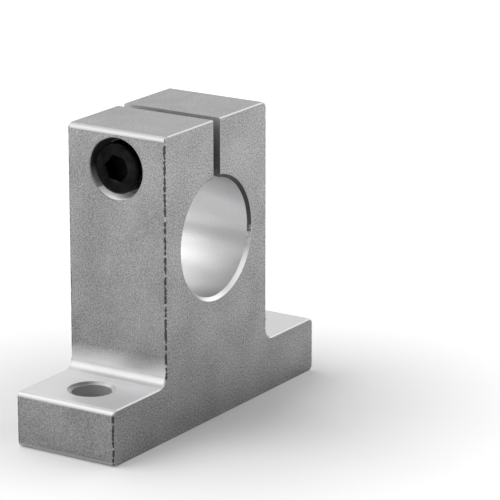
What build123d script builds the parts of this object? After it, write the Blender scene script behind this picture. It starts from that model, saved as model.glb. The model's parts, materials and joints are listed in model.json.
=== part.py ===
"""Shaft support block and its clamp screw.

The block is one length of an extruded inverted T, bored for the shaft, slit from the top of
the bore upwards and drilled for two mounting bolts. One socket head screw, sunk in the side of
the near jaw and tapped into the far jaw, draws the slit together on the shaft.

Millimetres. The origin is on the underside of the block, below the shaft and at half the
block's depth. X runs across the feet, Y along the shaft, Z up. The screw's head faces -X.
"""

import os
from math import isclose, radians, sqrt, tan

from build123d import *

# The shaft
SHAFT_DIAMETER = 20.0
SHAFT_HEIGHT = 31.0

# The extruded section
BORE_WALL = 5.0
FOOT_LENGTH = 15.0
FOOT_HEIGHT = 9.5
OUTER_RADIUS = 1.0
ROOT_RADIUS = 2.0

# The sawn length of section, and what is cut in it
BLOCK_DEPTH = 19.0
EDGE_BREAK = 0.2
BORE_CHAMFER = 0.6
SLIT_WIDTH = 2.0

# The mounting holes, for 6 mm bolts
HOLE_DIAMETER = 6.6
HOLE_INSET = 7.5
HOLE_MOUTH_WIDTH = 0.7
HOLE_MOUTH_ANGLE = 120.0
HOLE_BURR_BREAK = 0.2

# The clamp screw, a 5 mm socket head cap screw
SCREW_DIAMETER = 5.0
SCREW_LENGTH = 20.0
SCREW_TIP_CHAMFER = 0.45
HEAD_DIAMETER = 8.5
HEAD_HEIGHT = 5.0
HEAD_CHAMFER = 0.33
NECK_RADIUS = 0.2
SOCKET_FLATS = 4.0
SOCKET_DEPTH = 2.5
SOCKET_POINT_DEPTH = 0.6
SOCKET_MOUTH_WIDTH = 0.1
SOCKET_MOUTH_ANGLE = 120.0

# How far the tightened screw's socket stands turned from one corner straight up
SOCKET_TURN = -20.0

# The screw's seat in the block
HEAD_CLEARANCE = 0.9
HEAD_RECESS = 0.1
SCREW_CLEARANCE = 0.25
THREAD_CLEARANCE = 0.05
SEAT_RIM_BREAK = 0.1
THREAD_EXIT_CHAMFER = 0.4
SCREW_TO_BORE_WALL = 0.85
SEAT_TO_TOP_WALL = 1.25

# How far a cutting tool runs past the face that it cuts
OVERRUN = 1.0

# What follows from the sizes above
shaft_radius = SHAFT_DIAMETER / 2
tower_width = SHAFT_DIAMETER + 2 * BORE_WALL
base_width = tower_width + 2 * FOOT_LENGTH
hole_x = base_width / 2 - HOLE_INSET
screw_radius = SCREW_DIAMETER / 2
head_radius = HEAD_DIAMETER / 2
clearance_radius = screw_radius + SCREW_CLEARANCE
seat_radius = head_radius + HEAD_CLEARANCE
under_head = HEAD_RECESS + HEAD_HEIGHT
screw_height = SHAFT_HEIGHT + shaft_radius + SCREW_TO_BORE_WALL + clearance_radius
block_height = screw_height + seat_radius + SEAT_TO_TOP_WALL

# The screw's own frame: z = 0 on the side face of the near jaw, z into the block, x upwards
screw_plane = Plane(origin=(-tower_width / 2, 0, screw_height), x_dir=(0, 0, 1), z_dir=(1, 0, 0))


def turned(corners):
    """Solid turned about Z, from its (radius, z) corners in order along the axis."""
    start = (0, corners[0][1])
    end = (0, corners[-1][1])
    outline = Polyline(start, *corners, end, close=True)
    return revolve(Plane.XZ * make_face(outline), Axis.Z)


def edges_along(bar, height):
    """The bar's edges that run lengthwise at one height, from -X to +X."""
    lengthwise = bar.edges().filter_by(Axis.Y)
    level = lengthwise.filter_by(lambda edge: isclose(edge.center().Z, height, abs_tol=1e-6))
    return level.sort_by(Axis.X)


def extruded_bar():
    """The inverted T, as long as the block is deep, with the corner radii that the die leaves."""
    low = (Align.CENTER, Align.MIN)
    section = Rectangle(base_width, FOOT_HEIGHT, align=low) + Rectangle(tower_width, block_height, align=low)
    bar = extrude(Plane.XZ * section, BLOCK_DEPTH / 2, both=True)
    foot_tops = edges_along(bar, FOOT_HEIGHT)
    outer = edges_along(bar, 0) + edges_along(bar, block_height) + [foot_tops[0], foot_tops[-1]]
    bar = fillet(outer, OUTER_RADIUS)
    roots = edges_along(bar, FOOT_HEIGHT)[1:-1]
    return fillet(roots, ROOT_RADIUS)


def sawn_length():
    """One length sawn off the bar, with the edges of both sawn faces broken."""
    bar = extruded_bar()
    sawn = bar.faces().filter_by(Axis.Y)
    return chamfer(sawn.edges(), EDGE_BREAK)


def shaft_bore():
    """Tool for the bore, opened at 45 degrees where it meets both sawn faces."""
    half = BLOCK_DEPTH / 2
    wide = shaft_radius + BORE_CHAMFER + OVERRUN
    tool = turned([
        (wide, -half - OVERRUN),
        (shaft_radius, -half + BORE_CHAMFER),
        (shaft_radius, half - BORE_CHAMFER),
        (wide, half + OVERRUN),
    ])
    return Plane(origin=(0, 0, SHAFT_HEIGHT), z_dir=(0, 1, 0)) * tool


def slit():
    """Tool for the saw cut that parts the jaws, from the shaft's axis up through the top."""
    size = (SLIT_WIDTH, BLOCK_DEPTH + 2 * OVERRUN, block_height + OVERRUN - SHAFT_HEIGHT)
    blade = Box(*size, align=(Align.CENTER, Align.CENTER, Align.MIN))
    return Pos(0, 0, SHAFT_HEIGHT) * blade


def mounting_hole():
    """Tool for one bolt hole, with a drill-point mouth above and its burr broken below."""
    radius = HOLE_DIAMETER / 2
    slope = tan(radians(HOLE_MOUTH_ANGLE / 2))
    return turned([
        (radius + HOLE_BURR_BREAK + OVERRUN, -OVERRUN),
        (radius, HOLE_BURR_BREAK),
        (radius, FOOT_HEIGHT - HOLE_MOUTH_WIDTH / slope),
        (radius + HOLE_MOUTH_WIDTH + OVERRUN * slope, FOOT_HEIGHT + OVERRUN),
    ])


def screw_seat():
    """Tool for the counterbore, the near jaw's clearance hole and the far jaw's tapped hole."""
    middle = tower_width / 2
    tapped_radius = screw_radius + THREAD_CLEARANCE
    tool = turned([
        (seat_radius + SEAT_RIM_BREAK + OVERRUN, -OVERRUN),
        (seat_radius, SEAT_RIM_BREAK),
        (seat_radius, under_head),
        (clearance_radius, under_head),
        (clearance_radius, middle),
        (tapped_radius, middle),
        (tapped_radius, tower_width - THREAD_EXIT_CHAMFER),
        (tapped_radius + THREAD_EXIT_CHAMFER + OVERRUN, tower_width + OVERRUN),
    ])
    return screw_plane * tool


def support_block():
    """The block: a sawn length of section, then bored, slit and drilled."""
    block = sawn_length()
    block -= shaft_bore()
    block -= slit()
    block -= Pos(-hole_x, 0, 0) * mounting_hole()
    block -= Pos(hole_x, 0, 0) * mounting_hole()
    block -= screw_seat()
    return block


def screw_blank():
    """The screw before its socket: chamfered head, rounded neck, shank with a chamfered tip."""
    tip = under_head + SCREW_LENGTH
    blank = turned([
        (head_radius - HEAD_CHAMFER, HEAD_RECESS),
        (head_radius, HEAD_RECESS + HEAD_CHAMFER),
        (head_radius, under_head),
        (screw_radius, under_head),
        (screw_radius, tip - SCREW_TIP_CHAMFER),
        (screw_radius - SCREW_TIP_CHAMFER, tip),
    ])
    rings = blank.edges().filter_by(GeomType.CIRCLE)
    at_head = rings.filter_by(lambda ring: isclose(ring.center().Z, under_head, abs_tol=1e-6))
    neck = at_head.sort_by(SortBy.RADIUS)[0]
    return fillet(neck, NECK_RADIUS)


def hex_socket():
    """Tool for the hexagon socket: flats for the key, an opened mouth and a drill-point floor."""
    centred = (Align.CENTER, Align.CENTER, Align.MIN)
    hexagon = RegularPolygon(SOCKET_FLATS / 2, 6, major_radius=False, rotation=SOCKET_TURN)
    flats = Pos(0, 0, HEAD_RECESS - OVERRUN) * extrude(hexagon, OVERRUN + SOCKET_DEPTH)
    point = Cone(SOCKET_FLATS / 2, 0, SOCKET_POINT_DEPTH, align=centred)
    floor = Pos(0, 0, HEAD_RECESS + SOCKET_DEPTH) * point
    slope = tan(radians(SOCKET_MOUTH_ANGLE / 2))
    wide = SOCKET_FLATS / sqrt(3) + SOCKET_MOUTH_WIDTH + OVERRUN * slope
    mouth = Pos(0, 0, HEAD_RECESS - OVERRUN) * Cone(wide, 0, wide / slope, align=centred)
    return flats + floor + mouth


def clamp_screw():
    """The clamp screw, seated in its counterbore with its shank across the slit."""
    return screw_plane * (screw_blank() - hex_socket())


nodes = {"support_block": support_block(), "clamp_screw": clamp_screw()}

os.makedirs("parts", exist_ok=True)
for name, node in nodes.items():
    assert len(node.solids()) == 1, f"{name} is not one solid"
    export_step(node.solids()[0], f"parts/{name}.step")
    print(name, round(node.volume, 1), "mm3", node.bounding_box())
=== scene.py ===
# %% [markdown]
# # A shaft support block, dressed for its portrait
#
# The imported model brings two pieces, already in place and in metres: the block and the clamp
# screw that crosses its slit. This lesson keeps the block's solid and gives it the surface of
# blasted and anodised aluminium. It then makes the screw again, with the knurled head, the key
# socket and the thread that a plain solid leaves out, and cuts a real thread into the far jaw.

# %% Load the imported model
import json
from math import cos, pi, radians, sin, sqrt, tan

import bmesh
import bpy
from mathutils import Matrix, Vector

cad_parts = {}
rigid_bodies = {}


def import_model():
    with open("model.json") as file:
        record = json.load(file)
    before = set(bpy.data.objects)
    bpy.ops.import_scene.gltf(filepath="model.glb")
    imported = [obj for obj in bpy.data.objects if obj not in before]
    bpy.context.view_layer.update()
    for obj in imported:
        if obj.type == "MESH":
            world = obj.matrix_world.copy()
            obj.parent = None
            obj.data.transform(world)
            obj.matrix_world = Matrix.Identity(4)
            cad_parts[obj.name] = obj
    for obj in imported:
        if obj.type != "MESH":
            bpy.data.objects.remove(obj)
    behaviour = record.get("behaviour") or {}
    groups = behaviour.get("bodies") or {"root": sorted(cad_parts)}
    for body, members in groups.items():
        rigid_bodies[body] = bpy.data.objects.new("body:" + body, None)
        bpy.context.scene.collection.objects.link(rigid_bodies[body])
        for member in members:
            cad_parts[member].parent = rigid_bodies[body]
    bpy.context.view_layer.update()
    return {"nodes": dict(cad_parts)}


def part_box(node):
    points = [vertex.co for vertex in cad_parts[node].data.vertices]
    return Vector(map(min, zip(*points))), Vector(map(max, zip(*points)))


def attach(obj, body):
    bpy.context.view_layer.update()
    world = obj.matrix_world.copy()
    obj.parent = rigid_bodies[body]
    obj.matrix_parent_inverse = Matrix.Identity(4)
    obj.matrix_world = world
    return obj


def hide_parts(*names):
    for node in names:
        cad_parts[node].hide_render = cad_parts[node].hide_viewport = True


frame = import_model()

MM = 0.001
block = frame["nodes"]["support_block"]
block_low, block_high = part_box("support_block")
screw_low, screw_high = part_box("clamp_screw")
print("block", [round(size / MM, 2) for size in block_high - block_low], "mm")
print("screw", [round(size / MM, 2) for size in screw_high - screw_low], "mm")

# %% [markdown]
# ## Where things are
#
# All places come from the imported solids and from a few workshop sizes. The screw lies along X,
# with its head at the -X side. It is easier to model standing up, so it is made in a frame of its
# own, with Z running from the head's face to the tip, and moved into the block at the end.

# %% Sizes and places, in millimetres
SHAFT_RADIUS = 10.0
SHAFT_HEIGHT = 31.0
FOOT_HEIGHT = 9.5
TOWER_SIDE = 15.0
HEAD_RADIUS = 4.25
HEAD_HEIGHT = 5.0
SCREW_RADIUS = 2.5
SCREW_LENGTH = 20.0
TAPPED_RADIUS = 2.55

head_face = screw_low.x / MM
screw_height = (screw_low.z + screw_high.z) / 2 / MM
into_block = Matrix(((0, 0, 1, head_face), (0, -1, 0, 0), (1, 0, 0, screw_height), (0, 0, 0, 1)))
print("head's face at x", round(head_face, 2), "and screw's axis at z", round(screw_height, 2))

# %% [markdown]
# ## Tools that work like hands
#
# Modelling by hand means: select something, then run an operator on it. These few helpers do the
# same from code. An operator acts on all that is selected, so the first one empties the selection.

# %% Select nothing, or open one piece
def select_none():
    """Leaves edit mode and deselects every object, so that the next operator touches one piece."""
    if bpy.context.object and bpy.context.object.mode != "OBJECT":
        bpy.ops.object.mode_set(mode="OBJECT")
    for other in bpy.context.view_layer.objects:
        other.select_set(False)


def edit(piece):
    """Opens one piece in edit mode with nothing selected."""
    select_none()
    bpy.context.view_layer.objects.active = piece
    piece.select_set(True)
    bpy.ops.object.mode_set(mode="EDIT")
    bpy.ops.mesh.select_mode(type="VERT")
    bpy.ops.mesh.select_all(action="DESELECT")


def report(piece):
    """Prints what was made."""
    print(piece.name, len(piece.data.polygons), "faces,", [round(d / MM, 2) for d in piece.dimensions], "mm")


report(block)

# %% [markdown]
# A round piece is a line of points turned on a lathe. The line starts as a single point, which is
# extruded from corner to corner as a pencil would go. The Screw modifier is the lathe: it spins the
# line about Z, and climbs while it spins where a thread is wanted.

# %% Draw a line and turn it
def draw_line(name, corners):
    """One point extruded from corner to corner; each corner is (radius, height) in millimetres."""
    select_none()
    bpy.ops.mesh.primitive_plane_add(size=MM)
    piece = bpy.context.object
    piece.name = name
    bpy.ops.object.mode_set(mode="EDIT")
    bpy.ops.mesh.merge(type="CENTER")
    here = Vector((0, 0, 0))
    for number, (radius, height) in enumerate(corners):
        there = Vector((radius, 0, height)) * MM
        if number == 0:
            bpy.ops.transform.translate(value=there - here)
        else:
            bpy.ops.mesh.extrude_region_move(TRANSFORM_OT_translate={"value": there - here})
        here = there
    bpy.ops.object.mode_set(mode="OBJECT")
    return piece


def apply_modifier(piece, kind, **settings):
    """Adds a modifier, sets it and applies it at once."""
    select_none()
    bpy.context.view_layer.objects.active = piece
    modifier = piece.modifiers.new(kind.title(), kind)
    for name, value in settings.items():
        setattr(modifier, name, value)
    bpy.ops.object.modifier_apply(modifier=modifier.name)


def clean(piece):
    """Merges points that lie together and turns all faces outwards."""
    edit(piece)
    bpy.ops.mesh.select_all(action="SELECT")
    bpy.ops.mesh.remove_doubles(threshold=0.002 * MM)
    bpy.ops.mesh.normals_make_consistent(inside=False)
    bpy.ops.object.mode_set(mode="OBJECT")


def turn_on_lathe(name, corners, steps, pitch=0.0, turns=1):
    """Spins a line about Z. With a pitch, the line climbs as it turns and becomes a thread."""
    piece = draw_line(name, corners)
    apply_modifier(
        piece, "SCREW", axis="Z", angle=2 * pi, steps=steps, render_steps=steps,
        screw_offset=pitch * MM, iterations=turns, use_merge_vertices=True, merge_threshold=0.001 * MM)
    clean(piece)
    return piece

# %% [markdown]
# ## The screw's thread
#
# A real 5 mm thread is rolled: hard dies press a 60 degree groove into the blank, 0.8 mm further
# on at each turn. Here one tooth of that groove is drawn as a line and turned while it climbs, so
# the end of one turn meets the start of the next. The rod is then trimmed to the shank's outline,
# which also gives the tip its chamfer. A tap is the same rod, made a little larger, so one
# function serves both.

# %% Make a threaded rod
PITCH = 0.8
THREAD_STEPS = 40
FLANK = tan(radians(30))
SPARE_TURNS = 4
LEAD_IN = 2.017 * PITCH


def threaded_rod(name, crest, root, start, end):
    """A rod along Z with an ISO groove. It is made too long, then cut off square at both ends."""
    crest_flat = PITCH / 8
    slope = (crest - root) * FLANK
    tooth = [
        (crest, 0),
        (crest, crest_flat),
        (root, crest_flat + slope),
        (root, PITCH - slope),
        (crest, PITCH),
    ]
    turns = int((end - start) / PITCH) + SPARE_TURNS
    low = start - LEAD_IN
    rod = turn_on_lathe(name, [(r, low + z) for r, z in tooth], THREAD_STEPS, PITCH, turns)
    for place, side in ((start, -1), (end, 1)):
        edit(rod)
        bpy.ops.mesh.select_all(action="SELECT")
        bpy.ops.mesh.bisect(
            plane_co=(0, 0, place * MM), plane_no=(0, 0, side), use_fill=True, clear_outer=True,
            threshold=0.0001 * MM)
        bpy.ops.object.mode_set(mode="OBJECT")
    clean(rod)
    return rod


print("the groove's flanks slope", round(FLANK, 3), "mm along for each mm in")

# %% Cut the shank
def carve(piece, tool, operation):
    """Cuts the tool out of the piece, or joins or keeps what they share, and clears the tool away."""
    apply_modifier(piece, "BOOLEAN", object=tool, operation=operation, solver="EXACT")
    bpy.data.objects.remove(tool)


CREST_RADIUS = 2.49
ROOT_RADIUS = 2.02
NECK_RADIUS = 2.3
IN_HEAD = 0.5
TIP_CHAMFER = 0.45
under_head = HEAD_HEIGHT
tip = under_head + SCREW_LENGTH
shank = threaded_rod("shank", CREST_RADIUS, ROOT_RADIUS, under_head - 0.6, tip + 0.5)
outline = turn_on_lathe("shank_outline", [
    (0, under_head - IN_HEAD),
    (NECK_RADIUS, under_head - IN_HEAD),
    (NECK_RADIUS, under_head + 0.6),
    (SCREW_RADIUS, under_head + 0.8),
    (SCREW_RADIUS, tip - TIP_CHAMFER),
    (SCREW_RADIUS - TIP_CHAMFER, tip),
    (0, tip),
], 80)
carve(shank, outline, "INTERSECT")
report(shank)

# %% [markdown]
# ## The screw's head
#
# The head is cold-formed: a punch drives the hexagon socket in while a die shapes the outside, and
# the straight knurl is rolled on so that fingers can spin it. The outline is turned first. The
# knurl comes from pulling in every second column of points between two rings, so that each groove
# runs out before it reaches the edges. The socket is cut last, by a six-sided punch with a
# countersink for its mouth and a drill point for its floor.

# %% Turn the head
TEETH = 54
HEAD_CHAMFER = 0.33
KNURL_START = 0.6
KNURL_END = 4.55
RUN_OUT = 0.2
EASE = 0.02

head = turn_on_lathe("clamp_screw_cap", [
    (0, 0),
    (HEAD_RADIUS - HEAD_CHAMFER, 0),
    (HEAD_RADIUS - 0.06, HEAD_CHAMFER - 0.1),
    (HEAD_RADIUS - EASE, HEAD_CHAMFER + 0.04),
    (HEAD_RADIUS - EASE, KNURL_START),
    (HEAD_RADIUS, KNURL_START + RUN_OUT),
    (HEAD_RADIUS, KNURL_END - RUN_OUT),
    (HEAD_RADIUS - EASE, KNURL_END),
    (HEAD_RADIUS - EASE, HEAD_HEIGHT - 0.12),
    (HEAD_RADIUS - 0.14, HEAD_HEIGHT),
    (0, HEAD_HEIGHT),
], 2 * TEETH)
report(head)

# %% Knurl the head
def select_points(piece, wanted):
    """Selects the points whose place passes the test, with the edges and faces between them."""
    mesh = bmesh.from_edit_mesh(piece.data)
    for point in mesh.verts:
        point.select_set(wanted(point.co / MM))
    mesh.select_flush(True)
    bmesh.update_edit_mesh(piece.data)


def in_groove(place):
    """True for every second column of the knurled band, inside its two run-outs."""
    column = round(place.xy.angle_signed(Vector((1, 0)), 0) / (pi / TEETH)) if place.xy.length > 1 else 0
    return KNURL_START + 0.1 < place.z < KNURL_END - 0.1 and place.xy.length > 4 and column % 2 == 1


KNURL_DEPTH = 0.16
edit(head)
select_points(head, in_groove)
shrink = 1 - KNURL_DEPTH / HEAD_RADIUS
bpy.ops.transform.resize(value=(shrink, shrink, 1), center_override=(0, 0, 0))
bpy.ops.object.mode_set(mode="OBJECT")
report(head)

# %% Punch the key socket
SOCKET_FLATS = 4.0
SOCKET_DEPTH = 2.5
SOCKET_POINT = 0.6
MOUTH_WIDTH = 0.1
MOUTH_ANGLE = radians(60)
SOCKET_TURN = radians(-20)

corner = SOCKET_FLATS / sqrt(3)
select_none()
bpy.ops.mesh.primitive_cylinder_add(
    vertices=6, radius=corner * MM, depth=(SOCKET_DEPTH + 1) * MM,
    location=(0, 0, (SOCKET_DEPTH - 1) / 2 * MM), rotation=(0, 0, SOCKET_TURN + radians(30)))
punch = bpy.context.object
floor_point = turn_on_lathe("floor_point", [
    (0, SOCKET_DEPTH - 0.2),
    (SOCKET_FLATS / 2 - 0.01, SOCKET_DEPTH - 0.2),
    (SOCKET_FLATS / 2 - 0.01, SOCKET_DEPTH),
    (0, SOCKET_DEPTH + SOCKET_POINT),
], 48)
mouth_radius = corner + MOUTH_WIDTH
mouth = turn_on_lathe("mouth", [
    (0, -1),
    (mouth_radius + tan(MOUTH_ANGLE), -1),
    (mouth_radius, 0),
    (0, mouth_radius / tan(MOUTH_ANGLE)),
], 48)
for tool in (punch, floor_point, mouth):
    carve(head, tool, "DIFFERENCE")
report(head)

# %% Join the head and the shank, and set the screw in the block
carve(head, shank, "UNION")
clean(head)
edit(head)
bpy.ops.mesh.select_all(action="SELECT")
bpy.ops.mesh.dissolve_degenerate(threshold=0.001 * MM)
bpy.ops.object.mode_set(mode="OBJECT")


def put_in_block(piece):
    """Moves a piece from the screw's own frame into the block, and leaves its object at the origin."""
    select_none()
    bpy.context.view_layer.objects.active = piece
    piece.select_set(True)
    place = into_block.copy()
    place.translation *= MM
    piece.matrix_world = place
    bpy.ops.object.transform_apply(location=True, rotation=True, scale=True)
    bpy.ops.object.shade_smooth_by_angle(angle=radians(35))
    report(piece)


put_in_block(head)
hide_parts("clamp_screw")
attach(head, "screw")

# %% [markdown]
# ## The thread in the far jaw
#
# The tapped hole's open end shows in the +X side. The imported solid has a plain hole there, as wide
# as the thread's outer diameter, so the ridges are all that is missing. A ring that fills the end
# of the hole is turned with the countersink's slope on its inner edge, and the tap is cut out of it.

# %% Tap the far jaw
RING_START = 10.6
EXIT_CHAMFER = 0.4
OVERLAP = 0.05
far_face = TOWER_SIDE - head_face
ring_low = RING_START - head_face
ring_high = far_face - EXIT_CHAMFER
MINOR_RADIUS = 2.1
ridge = TAPPED_RADIUS - MINOR_RADIUS
sunk = TAPPED_RADIUS + OVERLAP
jaw_thread = turn_on_lathe("jaw_thread", [
    (MINOR_RADIUS, ring_low),
    (MINOR_RADIUS, ring_high - ridge),
    (TAPPED_RADIUS, ring_high),
    (sunk, ring_high),
    (sunk, ring_low),
    (MINOR_RADIUS, ring_low),
], 80)
tap = threaded_rod("tap", TAPPED_RADIUS + 0.01, MINOR_RADIUS - 0.04, ring_low - 0.5, ring_high + 0.5)
carve(jaw_thread, tap, "DIFFERENCE")
clean(jaw_thread)
put_in_block(jaw_thread)
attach(jaw_thread, "block")

# %% [markdown]
# ## Building materials from nodes
#
# Colours are written as the hex values a paint program shows and turned to linear light by one
# function. Another adds a node with its settings and its links, so that a material reads like a
# list of steps. A node given as an input is linked from its first output.

# %% Two helpers for the materials
def linear(hex_colour):
    """The linear RGBA of an sRGB hex colour."""
    parts = [int(hex_colour[i:i + 2], 16) / 255 for i in (1, 3, 5)]
    return tuple(p / 12.92 if p <= 0.04045 else ((p + 0.055) / 1.055) ** 2.4 for p in parts) + (1.0,)


def add(tree, kind, inputs={}, **settings):
    """Adds a node. Settings are its own options; inputs are values, nodes or sockets, by name or number."""
    node = tree.nodes.new("ShaderNode" + kind)
    for name, value in settings.items():
        setattr(node, name, value)
    in_use = [socket for socket in node.inputs if socket.enabled]
    for key, value in inputs.items():
        socket = in_use[key] if isinstance(key, int) else next(s for s in in_use if s.name == key)
        if isinstance(value, bpy.types.Node):
            value = next(output for output in value.outputs if output.enabled)
        if isinstance(value, bpy.types.NodeSocket):
            tree.links.new(value, socket)
        else:
            socket.default_value = value
    return node


def new_material(name):
    """An empty node material."""
    material = bpy.data.materials.new(name)
    material.use_nodes = True
    material.node_tree.nodes.clear()
    return material, material.node_tree


TO_MM = (1 / MM, 1 / MM, 1 / MM)
print("middle grey is", round(linear("#808080")[0], 3), "in linear light")

# %% [markdown]
# ## Blasted, clear anodised aluminium
#
# The bar is extruded and sawn, then blasted with fine glass beads and anodised. Blasting leaves
# thousands of small dimples, so the metal gives back light softly and with a fine sparkle. The
# anodic layer is clear and glassy, and shows most at a low angle, so it is a coat over the metal.
# Holes are cut after blasting and stay smoother and lighter. Each of these places is found from
# its distance to the hole's axis, measured in millimetres on Object coordinates. Both sides of the
# block are alike, so where a sign makes no difference it is dropped.

# %% Find the bored places
aluminium, tree = new_material("bead_blasted_anodised_aluminium")
where = add(tree, "TexCoord")
place = add(tree, "Mapping", {"Vector": where.outputs["Object"], "Scale": TO_MM})
mirrored = add(tree, "VectorMath", {0: place}, operation="ABSOLUTE")
across = add(tree, "SeparateXYZ", {0: mirrored})
SEAT_RADIUS = 5.2
THREAD_MOUTH = 2.92


def near_axis(tree, place, keep, centre, radius):
    """1 within a radius of a hole's axis; keep is 0 for the direction that the axis runs in."""
    flat = add(tree, "VectorMath", {0: place, 1: keep}, operation="MULTIPLY")
    away = add(tree, "VectorMath", {0: flat, 1: centre}, operation="DISTANCE")
    return add(tree, "MapRange", {
        "Value": away, "From Min": radius, "From Max": radius + 0.05, "To Min": 1.0, "To Max": 0.0})


BORE_AXIS = (0, 0, SHAFT_HEIGHT)
SCREW_AXIS = (0, 0, screw_height)
bore = near_axis(tree, place, (1, 0, 1), BORE_AXIS, SHAFT_RADIUS + 0.1)
wide_seat = near_axis(tree, place, (0, 1, 1), SCREW_AXIS, SEAT_RADIUS)
side = add(tree, "SeparateXYZ", {0: place})
near_jaw = add(tree, "Math", {0: side.outputs["X"], 1: 0.0}, operation="LESS_THAN")
seat = add(tree, "Math", {0: wide_seat, 1: near_jaw}, operation="MULTIPLY")
thread_mouth = near_axis(tree, place, (0, 1, 1), SCREW_AXIS, THREAD_MOUTH)
bored = add(tree, "Math", {0: bore, 1: seat}, operation="MAXIMUM")
bored = add(tree, "Math", {0: bored, 1: thread_mouth}, operation="MAXIMUM")
print(len(tree.nodes), "nodes find the bored places")

# %% [markdown]
# The bolt holes and the slit are drilled and sawn rather than bored, so they are duller. The slit
# is dullest at its top, where the saw came in.

# %% Find the drilled and sawn places
HOLE_X = 22.5
HOLE_RADIUS = 3.35
SLIT_SIDE = 1.02
SLIT_FOOT = 41.0
SLIT_TOP = 50.9
bolt_hole = near_axis(tree, mirrored, (1, 1, 0), (HOLE_X, 0, 0), HOLE_RADIUS)
in_slit = add(tree, "Math", {0: across.outputs["X"], 1: SLIT_SIDE}, operation="LESS_THAN")
slit_mouth = add(tree, "MapRange", {
    "Value": across.outputs["Z"], "From Min": SLIT_FOOT, "From Max": SLIT_TOP, "To Max": 0.5})
slit = add(tree, "Math", {0: in_slit, 1: slit_mouth}, operation="MULTIPLY")
dull = add(tree, "Math", {0: bolt_hole, 1: slit}, operation="MAXIMUM")
machined = add(tree, "Math", {0: bored, 1: dull}, operation="MAXIMUM")
print(len(tree.nodes), "nodes so far")

# %% [markdown]
# ### Which way a face looks
#
# The normal tells a sawn face from an extruded one, and a flat face from a rounded edge. Beads
# skim off a rounded edge and polish it, so it has less grain and is lighter.

# %% Find the sawn faces and the rounded edges
direction = add(tree, "SeparateXYZ", {0: where.outputs["Normal"]})
turned = add(tree, "VectorMath", {0: where.outputs["Normal"]}, operation="ABSOLUTE")
facing = add(tree, "SeparateXYZ", {0: turned})
sawn = add(tree, "MapRange", {"Value": facing.outputs["Y"], "From Min": 0.8, "From Max": 0.95})
extruded = add(tree, "Math", {0: 1.0, 1: sawn}, operation="SUBTRACT")
upright = add(tree, "Math", {0: facing.outputs["X"], 1: facing.outputs["Y"]}, operation="MAXIMUM")
square = add(tree, "Math", {0: upright, 1: facing.outputs["Z"]}, operation="MAXIMUM")
flat = add(tree, "MapRange", {"Value": square, "From Min": 0.93, "From Max": 0.995})
print(len(tree.nodes), "nodes so far")

# %% [markdown]
# In the corner over each foot the colour is lighter: painted light, standing in for the light that the foot
# and the tower throw onto each other. Beads bounce to and fro there, so the metal is also rougher. The
# painted light ends a few millimetres over the foot, and the softer gloss higher up.

# %% Find the corners over the feet
LIGHT_FROM = 10.2
LIGHT_TO = 14.2
MATT_FROM = 12.0
MATT_TO = 20.0
over_foot = add(tree, "MapRange", {
    "Value": across.outputs["Z"], "From Min": FOOT_HEIGHT - 0.9, "From Max": FOOT_HEIGHT - 0.1})
by_foot = add(tree, "MapRange", {
    "Value": across.outputs["Z"], "From Min": LIGHT_FROM, "From Max": LIGHT_TO,
    "To Min": 1.0, "To Max": 0.0})
above = add(tree, "Math", {0: over_foot, 1: extruded}, operation="MULTIPLY")
corner = add(tree, "Math", {0: above, 1: by_foot}, operation="MULTIPLY")
low_side = add(tree, "MapRange", {
    "Value": across.outputs["Z"], "From Min": MATT_FROM, "From Max": MATT_TO,
    "To Min": 1.0, "To Max": 0.0})
soft_corner = add(tree, "Math", {0: above, 1: low_side}, operation="MULTIPLY")
print(len(tree.nodes), "nodes so far")

# %% [markdown]
# ### Grain and clouds
#
# The beads leave dimples of about 0.1 mm, which is less than a pixel here, so the grain is drawn
# twice as coarse. It is coarser still, and stronger, on the two sawn faces, where saw marks lie
# under the blasting. Slow clouds of 8 mm break up the tone, as a hand-held blasting gun does.

# %% Draw the grain
GRAIN = 0.22
SAWN_GRAIN = 0.28
CLOUD = 8.0
CLOUD_SHARE = 0.2
EDGE_TONE = 2.2
CORNER_EDGE_TONE = 0.8
fine = add(tree, "TexNoise", {"Vector": place, "Scale": 1 / GRAIN, "Detail": 2.0})
even = add(tree, "MapRange", {
    "Value": fine, "From Min": 0.3, "From Max": 0.7, "To Min": 0.36, "To Max": 0.64})
coarse = add(tree, "TexNoise", {"Vector": place, "Scale": 1 / SAWN_GRAIN, "Detail": 3.0})
grain = add(tree, "Mix", {0: sawn, 1: even, 2: coarse}, data_type="FLOAT")
speckle = add(tree, "MapRange", {"Value": grain, "From Min": 0.34, "From Max": 0.66})
polish = add(tree, "MapRange", {"Value": corner, "To Min": EDGE_TONE, "To Max": CORNER_EDGE_TONE})
speckle = add(tree, "Mix", {0: flat, 1: polish, 2: speckle}, data_type="FLOAT")
clouds = add(tree, "TexNoise", {"Vector": place, "Scale": 1 / CLOUD, "Detail": 3.0})
cloud = add(tree, "MapRange", {"Value": clouds, "From Min": 0.35, "From Max": 0.65})
tone = add(tree, "Mix", {0: CLOUD_SHARE, 1: speckle, 2: cloud}, data_type="FLOAT")
print(len(tree.nodes), "nodes so far")

# %% [markdown]
# The tone then chooses between the grey of a dimple's shaded side and that of its lit side. Blasted
# metal is darker than a bored wall, because its dimples send much of the light away.

# %% Colour the metal
blasted = add(tree, "Mix", {0: tone, 1: linear("#525253"), 2: linear("#AAAAAB")}, data_type="RGBA")
painted_bounce_light = add(tree, "MapRange", {"Value": flat, "To Min": 0.2, "To Max": 1.0})
painted_bounce_light = add(tree, "Math", {0: corner, 1: painted_bounce_light}, operation="MULTIPLY")
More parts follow.
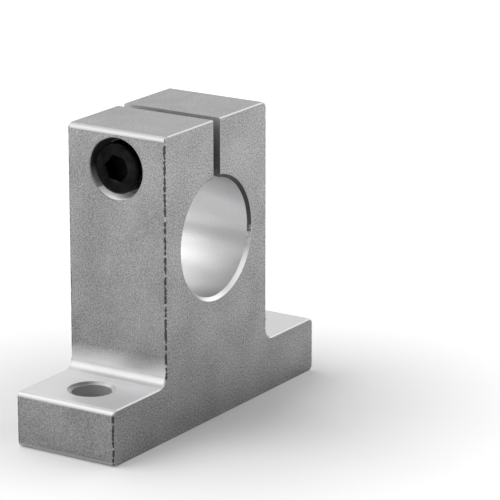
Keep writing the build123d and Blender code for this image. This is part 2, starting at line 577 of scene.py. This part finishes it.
# Painted light: a lighter tone in the corner over each foot, in place of light bounced between foot and
# tower.
blasted = add(tree, "Mix", {0: painted_bounce_light, 1: blasted, 2: linear("#E6E6E7")}, data_type="RGBA")
bore_metal = add(tree, "Mix", {0: grain, 1: linear("#C8C8C9"), 2: linear("#F0F0F1")}, data_type="RGBA")
colour = add(tree, "Mix", {0: machined, 1: blasted, 2: bore_metal}, data_type="RGBA")
colour = add(tree, "Mix", {0: dull, 1: colour, 2: linear("#ACACAD")}, data_type="RGBA")
print(len(tree.nodes), "nodes so far")

# %% [markdown]
# ### Painted edge shade, painted counterbore shade and painted edge highlights
#
# The upright edges of the sawn faces get a ragged dark line of painted shade: a painted dark reflection of
# the dark surroundings that such an edge would mirror. The counterbore's wall is painted in shade, except on
# its lower part, which looks up towards the light. The chamfers along the top of the sawn faces look up, and
# get a painted highlight.

# %% Paint a dark line of shade along the upright edges
HALF_DEPTH = 9.5
BASE_SIDE = 30.0
DASH_SIZE = 0.6
EDGE_SHADE_START = FOOT_HEIGHT + 1.2
EDGE_SHADE_END = FOOT_HEIGHT - 0.8
stretched = add(tree, "Mapping", {"Vector": place, "Scale": (0.5, 0.5, 1.0)})
dash_noise = add(tree, "TexNoise", {"Vector": stretched, "Scale": 1 / DASH_SIZE, "Detail": 4.0})
ragged = add(tree, "MapRange", {
    "Value": dash_noise, "From Min": 0.36, "From Max": 0.58, "To Min": 0.09, "To Max": 0.34})
sawn_edge = add(tree, "Math", {0: across.outputs["Y"], 1: HALF_DEPTH, 2: ragged}, operation="COMPARE")
tower_edge = add(tree, "Math", {0: across.outputs["X"], 1: TOWER_SIDE, 2: ragged}, operation="COMPARE")
over_root = add(tree, "Math", {0: across.outputs["Z"], 1: EDGE_SHADE_START}, operation="GREATER_THAN")
tower_edge = add(tree, "Math", {0: tower_edge, 1: over_root}, operation="MULTIPLY")
foot_edge = add(tree, "Math", {0: across.outputs["X"], 1: BASE_SIDE, 2: ragged}, operation="COMPARE")
under_rim = add(tree, "Math", {0: across.outputs["Z"], 1: EDGE_SHADE_END}, operation="LESS_THAN")
foot_edge = add(tree, "Math", {0: foot_edge, 1: under_rim}, operation="MULTIPLY")
painted_edge_shade = add(tree, "Math", {0: tower_edge, 1: foot_edge}, operation="MAXIMUM")
painted_edge_shade = add(tree, "Math", {0: painted_edge_shade, 1: sawn_edge}, operation="MULTIPLY")
# Painted shade: a ragged dark line along the upright edges, standing in for a dark reflection.
colour = add(tree, "Mix", {0: painted_edge_shade, 1: colour, 2: linear("#1C1C1C")}, data_type="RGBA")
print(len(tree.nodes), "nodes so far")

# %% Paint shade in the counterbore and a highlight on the upper edges
BEHIND_RIM = TOWER_SIDE - 0.15
painted_recess_shade = add(tree, "MapRange", {
    "Value": direction.outputs["Z"], "From Min": 0.0, "From Max": 0.45, "To Min": 0.85, "To Max": 0.0})
painted_recess_shade = add(tree, "Math", {0: painted_recess_shade, 1: seat}, operation="MULTIPLY")
in_recess = add(tree, "Math", {0: across.outputs["X"], 1: BEHIND_RIM}, operation="LESS_THAN")
painted_recess_shade = add(tree, "Math", {0: painted_recess_shade, 1: in_recess}, operation="MULTIPLY")
# Painted shade on the counterbore's wall, except on its lower part, which looks up.
colour = add(tree, "Mix", {0: painted_recess_shade, 1: colour, 2: linear("#3A3A3B")}, data_type="RGBA")
painted_edge_highlight = add(tree, "Math", {0: direction.outputs["Z"], 1: facing.outputs["Y"]}, operation="MULTIPLY")
painted_edge_highlight = add(tree, "MapRange", {"Value": painted_edge_highlight, "From Min": 0.25, "From Max": 0.42})
# Painted highlight on the upward-facing chamfers along the top of the sawn faces.
colour = add(tree, "Mix", {0: painted_edge_highlight, 1: colour, 2: linear("#D0D0D1")}, data_type="RGBA")
print(len(tree.nodes), "nodes so far")

# %% [markdown]
# ### The bore's chamfer
#
# The chamfer round the bore is cut by hand with a countersink. Its upper half looks down, and its inner band
# is painted dark as a painted dark reflection. Its lower half looks up, and gets a painted highlight. Noise
# moves the border between the two to and fro.

# %% Finish the chamfer
CHAMFER_RADIUS = 10.9
INNER_RIM_RADIUS = 10.48
round_bore = near_axis(tree, place, (1, 0, 1), BORE_AXIS, CHAMFER_RADIUS)
inner_rim_band = near_axis(tree, place, (1, 0, 1), BORE_AXIS, INNER_RIM_RADIUS)
sloped = add(tree, "Math", {0: facing.outputs["Y"], 1: 0.7, 2: 0.2}, operation="COMPARE")
chamfer = add(tree, "Math", {0: round_bore, 1: sloped}, operation="MULTIPLY")
shade_border = add(tree, "Math", {0: dash_noise, 1: 0.4, 2: direction.outputs["Z"]}, operation="MULTIPLY_ADD")
painted_chamfer_highlight = add(tree, "MapRange", {"Value": shade_border, "From Min": 0.2, "From Max": 0.42})
# Painted shade on the inner band of the chamfer's upper half, and a painted highlight on its lower half.
painted_rim_shade = add(tree, "Mix", {0: inner_rim_band, 1: blasted, 2: linear("#0C0C0C")}, data_type="RGBA")
chamfer_colour = add(tree, "Mix", {0: painted_chamfer_highlight, 1: painted_rim_shade, 2: linear("#F0F0F1")}, data_type="RGBA")
colour = add(tree, "Mix", {0: chamfer, 1: colour, 2: chamfer_colour}, data_type="RGBA")
print(len(tree.nodes), "nodes so far")

# %% [markdown]
# ### Gloss and relief
#
# The dimples are a shallow bump. The counterbore's wall keeps the steps of its cutter: each is a small ring
# that faces outwards. They are finer than a pixel, so the whole wall is tilted outwards instead, and catches
# the light as they do. The tilt fades towards the wall's upper part, which is painted in shade.

# %% Raise the relief
DIMPLE = 0.014
CUTTER_MARK = 0.003
RING_SLOPE = -1.7
dimples = add(tree, "MapRange", {"Value": machined, "To Min": DIMPLE, "To Max": CUTTER_MARK})
dimples = add(tree, "Math", {0: dimples, 1: flat}, operation="MULTIPLY")
dimples = add(tree, "Math", {0: dimples, 1: grain}, operation="MULTIPLY")
rings = add(tree, "Math", {0: across.outputs["X"], 1: RING_SLOPE}, operation="MULTIPLY")
rings = add(tree, "Math", {0: rings, 1: seat}, operation="MULTIPLY")
low_wall = add(tree, "MapRange", {"Value": direction.outputs["Z"], "From Min": -0.6, "From Max": 0.7})
rings = add(tree, "Math", {0: rings, 1: low_wall}, operation="MULTIPLY")
relief = add(tree, "Math", {0: dimples, 1: rings}, operation="ADD")
bump = add(tree, "Bump", {"Height": relief, "Strength": 1.0, "Distance": MM})
print(len(tree.nodes), "nodes so far")

# %% [markdown]
# Roughness says how wide each reflection spreads, and is highest on the walls of the drilled holes
# and the counterbore. Metallic falls below 1 in the bolt holes and in the slit, which dulls them as
# dust does. A reamer leaves fine rings all round the bore, which draw each reflection out along the
# shaft: that is what anisotropy does on the shader.

# %% Finish the aluminium
EDGE_ROUGH = 0.38
CORNER_ROUGH = 0.5
CUT_ROUGH = 0.55
BORE_ROUGH = 0.42
DRAWN_OUT = 0.7
rough = add(tree, "MapRange", {"Value": tone, "To Min": 0.42, "To Max": 0.35})
rough = add(tree, "Mix", {0: soft_corner, 1: rough, 2: CORNER_ROUGH}, data_type="FLOAT")
rough = add(tree, "Mix", {0: flat, 1: EDGE_ROUGH, 2: rough}, data_type="FLOAT")
rough = add(tree, "Mix", {0: machined, 1: rough, 2: CUT_ROUGH}, data_type="FLOAT")
rough = add(tree, "Mix", {0: bore, 1: rough, 2: BORE_ROUGH}, data_type="FLOAT")
reamed = add(tree, "Math", {0: bore, 1: DRAWN_OUT}, operation="MULTIPLY")
along_shaft = add(tree, "CombineXYZ", {"Y": 1.0})
metal = add(tree, "MapRange", {"Value": dull, "To Min": 1.0, "To Max": 0.25})
shader = add(tree, "BsdfPrincipled", {
    "Base Color": colour, "Metallic": metal, "Roughness": rough, "Normal": bump,
    "Anisotropic": reamed, "Tangent": along_shaft,
    "Coat Weight": 1.0, "Coat IOR": 1.6, "Coat Roughness": 0.25})
add(tree, "OutputMaterial", {"Surface": shader})
block.material_slots[0].material = aluminium
print(aluminium.name, len(tree.nodes), "nodes")

# %% [markdown]
# ## The tapped thread
#
# A tap cuts the thread after blasting, so its flanks are bright metal with fine rings from the
# cutting edges, and the later anodising turns them slightly grey. A cutting edge scratches rings
# of a few hundredths of a millimetre; they are drawn at 0.12 mm, so that they show.

# %% Finish the tapped thread
TAP_RING = 0.12
tapped, tree = new_material("tapped_anodised_aluminium")
where = add(tree, "TexCoord")
place = add(tree, "Mapping", {"Vector": where.outputs["Object"], "Scale": TO_MM})
stretched = add(tree, "Mapping", {"Vector": place, "Scale": (1.0, 0.15, 0.15)})
scratches = add(tree, "TexNoise", {"Vector": stretched, "Scale": 1 / TAP_RING, "Detail": 3.0})
light = add(tree, "MapRange", {"Value": scratches, "From Min": 0.35, "From Max": 0.65})
colour = add(tree, "Mix", {0: light, 1: linear("#868687"), 2: linear("#B4B4B5")}, data_type="RGBA")
rough = add(tree, "MapRange", {
    "Value": scratches, "From Min": 0.3, "From Max": 0.7, "To Min": 0.28, "To Max": 0.40})
shader = add(tree, "BsdfPrincipled", {
    "Base Color": colour, "Metallic": 1.0, "Roughness": rough,
    "Coat Weight": 1.0, "Coat IOR": 1.6, "Coat Roughness": 0.2})
add(tree, "OutputMaterial", {"Surface": shader})
jaw_thread.data.materials.append(tapped)
print(tapped.name, len(tree.nodes), "nodes")

# %% [markdown]
# ## Black oxide on the screw
#
# The screw is dipped in a hot salt bath that turns its skin into black magnetite, and then oiled.
# The skin is only a micrometre thick, so the steel's own texture still shows: nearly black, with a
# dull sheen that breaks up where the oil has run together. The steel's pits are a few hundredths of
# a millimetre wide and are drawn at 0.22 mm, so that they show.

# %% Finish the screw
OIL_PATCH = 1.4
PIT = 0.22
PIT_DEPTH = 0.008
oxide, tree = new_material("oiled_black_oxide_steel")
where = add(tree, "TexCoord")
place = add(tree, "Mapping", {"Vector": where.outputs["Object"], "Scale": TO_MM})
patches = add(tree, "TexNoise", {"Vector": place, "Scale": 1 / OIL_PATCH, "Detail": 4.0})
film = add(tree, "MapRange", {"Value": patches, "From Min": 0.35, "From Max": 0.65})
pits = add(tree, "TexNoise", {"Vector": place, "Scale": 1 / PIT, "Detail": 2.0})
colour = add(tree, "Mix", {0: film, 1: linear("#0E0E0F"), 2: linear("#1C1C1D")}, data_type="RGBA")
oiled = add(tree, "MapRange", {"Value": film, "To Min": 0.42, "To Max": 0.30})
rough = add(tree, "Math", {0: pits, 1: 0.06, 2: oiled}, operation="MULTIPLY_ADD")
bump = add(tree, "Bump", {"Height": pits, "Strength": 1.0, "Distance": PIT_DEPTH * MM})
shader = add(tree, "BsdfPrincipled", {
    "Base Color": colour, "Metallic": 1.0, "Roughness": rough, "Normal": bump})
add(tree, "OutputMaterial", {"Surface": shader})
head.data.materials.clear()
head.data.materials.append(oxide)
print(oxide.name, len(tree.nodes), "nodes")

# %% [markdown]
# ## Floor, light and camera
#
# The block stands on a sheet of white paper. A photographer's sheet sweeps up into a bright
# backdrop, so the paper grows whiter away from the block. That is a glow which only the camera and
# the reflections see, so it puts no light on the block and takes away no shadow. It is full from
# 8 cm out for the camera, and from 17 cm out in reflections, where it is brighter: the upper part
# of a wall mirrors paper that is far away, and the wall's foot mirrors paper close by.

# %% Lay the paper
PAPER_SIZE = 4.0
SWEEP_FROM = 0.08
SWEEP_GLOW = 0.36
MIRRORED_FROM = 0.17
MIRRORED_GLOW = 0.46
select_none()
bpy.ops.mesh.primitive_plane_add(size=PAPER_SIZE, location=(0, 0, 0))
floor = bpy.context.object
floor.name = "floor"
paper, tree = new_material("white_paper")
where = add(tree, "TexCoord")
away = add(tree, "VectorMath", {0: where.outputs["Object"]}, operation="LENGTH")
sweep = add(tree, "MapRange", {
    "Value": away, "From Max": SWEEP_FROM, "To Max": SWEEP_GLOW}, interpolation_type="SMOOTHSTEP")
backdrop = add(tree, "MapRange", {
    "Value": away, "From Max": MIRRORED_FROM, "To Max": MIRRORED_GLOW}, interpolation_type="SMOOTHSTEP")
ray = add(tree, "LightPath")
mirrored_ray = add(tree, "Math", {
    0: ray.outputs["Is Glossy Ray"], 1: ray.outputs["Is Transmission Ray"]}, operation="MAXIMUM")
in_metal = add(tree, "Math", {0: mirrored_ray, 1: backdrop}, operation="MULTIPLY")
strength = add(tree, "Math", {
    0: ray.outputs["Is Camera Ray"], 1: sweep, 2: in_metal}, operation="MULTIPLY_ADD")
glow = add(tree, "Emission", {"Strength": strength})
shader = add(tree, "BsdfPrincipled", {
    "Base Color": linear("#F2F2F2"), "Roughness": 0.9, "Specular IOR Level": 0.1})
both = add(tree, "AddShader", {0: shader, 1: glow})
add(tree, "OutputMaterial", {"Surface": both})
floor.data.materials.append(paper)
print(paper.name, len(tree.nodes), "nodes")

# %% [markdown]
# Metal shows what is around it, so it is lit by a ring of large soft boxes, a metre away. The
# strongest hangs overhead. Those at the left and the back draw the bright line on the rounded edges
# and fill the bore, the right one lights the sawn face, and the front one the bore's chamfer.

# %% Hang the soft boxes
AIM = Vector((0, 0, 25)) * MM
# name: azimuth and elevation in degrees, width and height in metres, watts
SOFT_BOXES = {
    "right_box": (58, 24, 1.2, 0.8, 3.8),
    "back_right_box": (110, 16, 0.9, 0.5, 0.5),
    "back_box": (140, 34, 1.0, 0.7, 1.6),
    "overhead_box": (190, 57, 1.2, 0.9, 4.3),
    "back_left_box": (225, 38, 1.2, 0.7, 3.0),
    "low_left_box": (234, 15, 0.9, 0.45, 1.1),
    "left_box": (262, 31, 0.9, 0.6, 1.7),
    "front_box": (352, 36, 1.1, 0.65, 2.4),
}


def towards(azimuth, elevation):
    """The direction of a lamp; azimuth 0 is in front of the block, at -Y, and 90 is at +X."""
    across, up = radians(azimuth), radians(elevation)
    return Vector((sin(across) * cos(up), -cos(across) * cos(up), sin(up)))


for name, (azimuth, elevation, width, height, watts) in SOFT_BOXES.items():
    lamp_data = bpy.data.lights.new(name, "AREA")
    lamp_data.shape = "RECTANGLE"
    lamp_data.size = width
    lamp_data.size_y = height
    lamp_data.energy = watts
    lamp = bpy.data.objects.new(name, lamp_data)
    bpy.context.scene.collection.objects.link(lamp)
    lamp.location = AIM + towards(azimuth, elevation)
    lamp.rotation_euler = towards(azimuth, elevation).to_track_quat("Z", "Y").to_euler()
print(len(SOFT_BOXES), "soft boxes,", round(sum(box[-1] for box in SOFT_BOXES.values()), 1), "W in all")

# %% Fill the room with a little light
FILL = 0.05
world = bpy.data.worlds.new("studio")
bpy.context.scene.world = world
world.use_nodes = True
world.node_tree.nodes["Background"].inputs["Color"].default_value = (1, 1, 1, 1)
world.node_tree.nodes["Background"].inputs["Strength"].default_value = FILL
print("the room's own light has strength", FILL)

# %% [markdown]
# The camera looks along the line that was worked out from the photograph's corners and circles.

# %% Camera
CAMERA = Vector((-417.39, -284.70, 172.64)) * MM
LOOKING = Vector((0.80804, 0.52031, -0.27631))
SENSOR = 36
LENS = 228.22
camera_data = bpy.data.cameras.new("camera")
camera = bpy.data.objects.new("camera", camera_data)
bpy.context.scene.collection.objects.link(camera)
camera_data.sensor_width = SENSOR
camera_data.lens = LENS
camera.location = CAMERA
camera.rotation_euler = LOOKING.to_track_quat("-Z", "Y").to_euler()
bpy.context.scene.camera = camera
bpy.context.scene.view_settings.view_transform = "Standard"
print("camera", round(CAMERA.length / MM), "mm away, lens", LENS, "mm")
